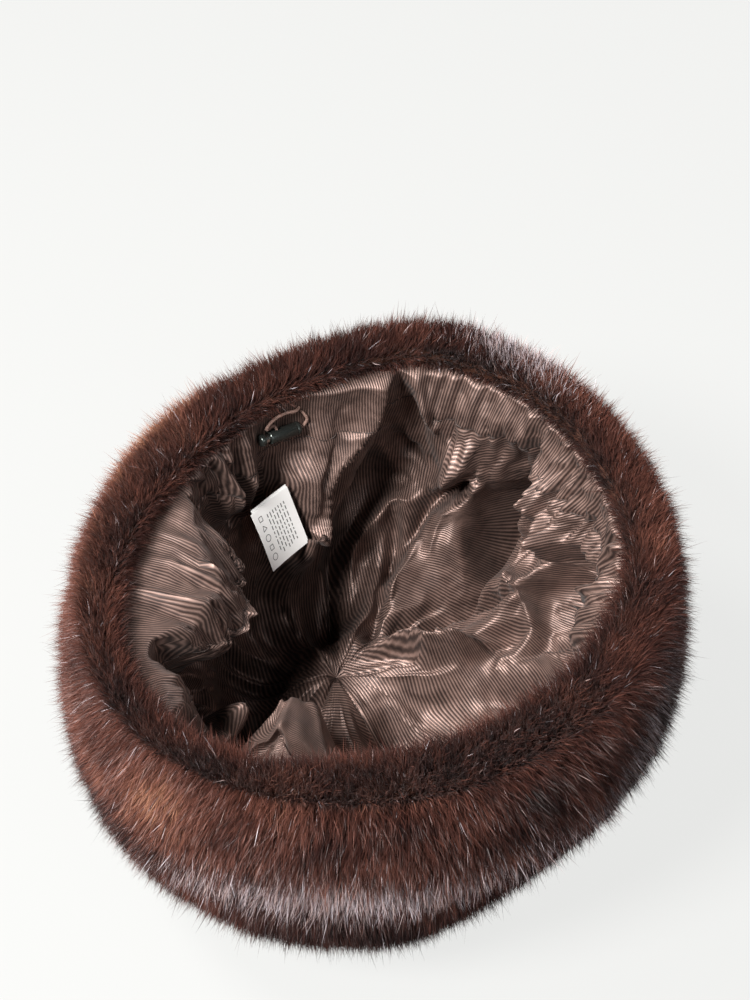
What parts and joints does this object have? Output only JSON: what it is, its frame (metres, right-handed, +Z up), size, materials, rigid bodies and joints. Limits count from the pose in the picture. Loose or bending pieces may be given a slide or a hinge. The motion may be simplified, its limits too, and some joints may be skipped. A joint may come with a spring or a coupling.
{
  "type": "mink fur hat",
  "caption": "Deep round fur hat lying crown-down, with a rolled fur lip, a gathered satin lining, a drawcord with a sprung cord lock, and a blank care label.",
  "frame": {"origin": "middle of the hat's box at the floor that the crown rests on", "axes": "+Z up out of the head opening, +X to the wearer's side as seen in the picture, +Y to the back of the picture"},
  "size_m": [0.245, 0.248, 0.15],
  "materials": {
    "fur": "dense brown mink fur, glossy guard hairs over short underfur, golden and grey in places",
    "satin": "brown twill satin lining with a silky sheen",
    "cord": "thin braided cord, matt brown",
    "eyelet": "brown enamelled ring",
    "lock_metal": "gunmetal plate, glossy, near black",
    "label": "white satin tape"
  },
  "bodies": {
    "hat": {"fur_band": "fur", "fur_crown": "fur", "lining_gore_1": "satin", "lining_gore_2": "satin", "lining_gore_3": "satin", "lining_gore_4": "satin", "lining_gore_5": "satin", "lining_gore_6": "satin", "drawcord_casing": "satin", "drawcord": "cord", "cord_eyelet": "eyelet", "cord_lock_barrel": "lock_metal", "care_label": "label"},
    "button": {"cord_lock_button": "lock_metal"}
  },
  "joints": [
    {"name": "cord_lock_press", "type": "slide", "parent": "hat", "child": "button", "axis": [0.7893, 0.5695, -0.2298], "range_m": [0, 0.002], "stiffness_N_per_m": 300, "springref_m": -0.0015}
  ]
}
